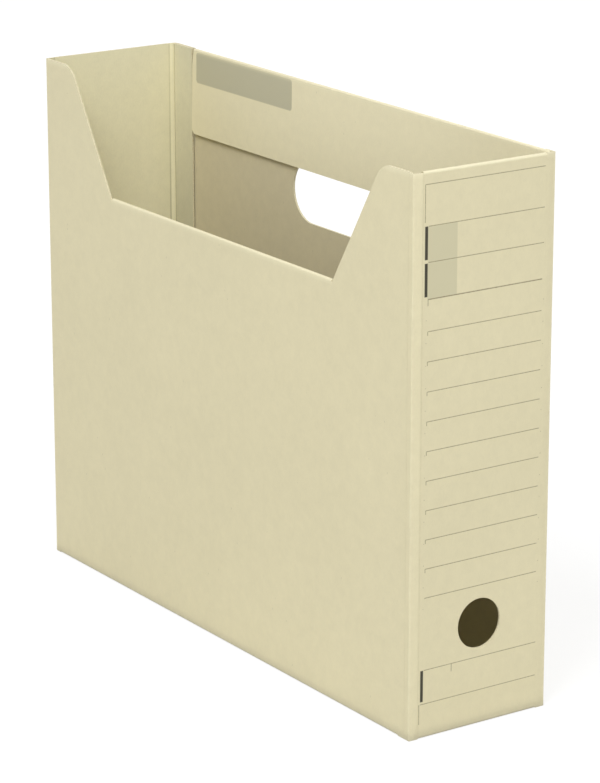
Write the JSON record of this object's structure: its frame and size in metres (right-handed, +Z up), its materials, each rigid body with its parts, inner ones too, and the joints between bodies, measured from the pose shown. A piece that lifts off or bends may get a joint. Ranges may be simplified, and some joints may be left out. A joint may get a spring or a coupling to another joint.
{
  "type": "file box",
  "caption": "Open-topped file box of folded solid board: one side cut out with a folded hem, the other with a handle band and hand hole; it folds flat about its creases.",
  "frame": {"origin": "middle of the underside, on the surface the box stands on", "axes": "+X along the box to the spine, +Y across to the side with the hand hole, +Z up"},
  "size_m": [0.318, 0.078, 0.265],
  "materials": {
    "board": "uncoated cream-khaki solid board, faint fibre",
    "board_bottom": "the same board, rubbed on the underside"
  },
  "bodies": {
    "near_side": {"near_side_panel": "board", "cutout_hem": "board"},
    "spine": {"spine_panel": "board", "spine_lining": "board"},
    "far_side": {"far_side_panel": "board", "handle_band": "board", "glue_flap": "board"},
    "rear_end": {"rear_end_panel": "board"},
    "near_flap": {"near_bottom_flap": "board_bottom"},
    "far_flap": {"far_bottom_flap": "board_bottom"},
    "front_flap": {"front_bottom_flap": "board_bottom"},
    "rear_flap": {"rear_bottom_flap": "board_bottom"}
  },
  "joints": [
    {"name": "spine_fold", "type": "hinge", "parent": "near_side", "child": "spine", "pos_m": [0.15741, -0.03741, 0], "axis": [0, 0, 1], "range_deg": [0, 76]},
    {"name": "far_side_fold", "type": "hinge", "parent": "spine", "child": "far_side", "pos_m": [0.15812, 0.03812, 0], "axis": [0, 0, -1], "range_deg": [0, 76]},
    {"name": "rear_end_fold", "type": "hinge", "parent": "near_side", "child": "rear_end", "pos_m": [-0.15812, -0.03812, 0], "axis": [0, 0, 1], "range_deg": [0, 76]},
    {"name": "near_flap_fold", "type": "hinge", "parent": "near_side", "child": "near_flap", "pos_m": [0, -0.0377, 0.001], "axis": [1, 0, 0], "range_deg": [0, 90]},
    {"name": "far_flap_fold", "type": "hinge", "parent": "far_side", "child": "far_flap", "pos_m": [0, 0.0377, 0.001], "axis": [-1, 0, 0], "range_deg": [0, 90]},
    {"name": "front_flap_fold", "type": "hinge", "parent": "spine", "child": "front_flap", "pos_m": [0.1577, 0, 0.0023], "axis": [0, 1, 0], "range_deg": [0, 90]},
    {"name": "rear_flap_fold", "type": "hinge", "parent": "rear_end", "child": "rear_flap", "pos_m": [-0.1577, 0, 0.0023], "axis": [0, -1, 0], "range_deg": [0, 90]}
  ],
  "couplings": [
    {"joint": "far_side_fold", "follows": "spine_fold", "ratio": 1},
    {"joint": "rear_end_fold", "follows": "spine_fold", "ratio": 1},
    {"joint": "near_flap_fold", "follows": "spine_fold", "ratio": 1.1842},
    {"joint": "far_flap_fold", "follows": "spine_fold", "ratio": 1.1842},
    {"joint": "front_flap_fold", "follows": "spine_fold", "ratio": 1.1842},
    {"joint": "rear_flap_fold", "follows": "spine_fold", "ratio": 1.1842}
  ]
}
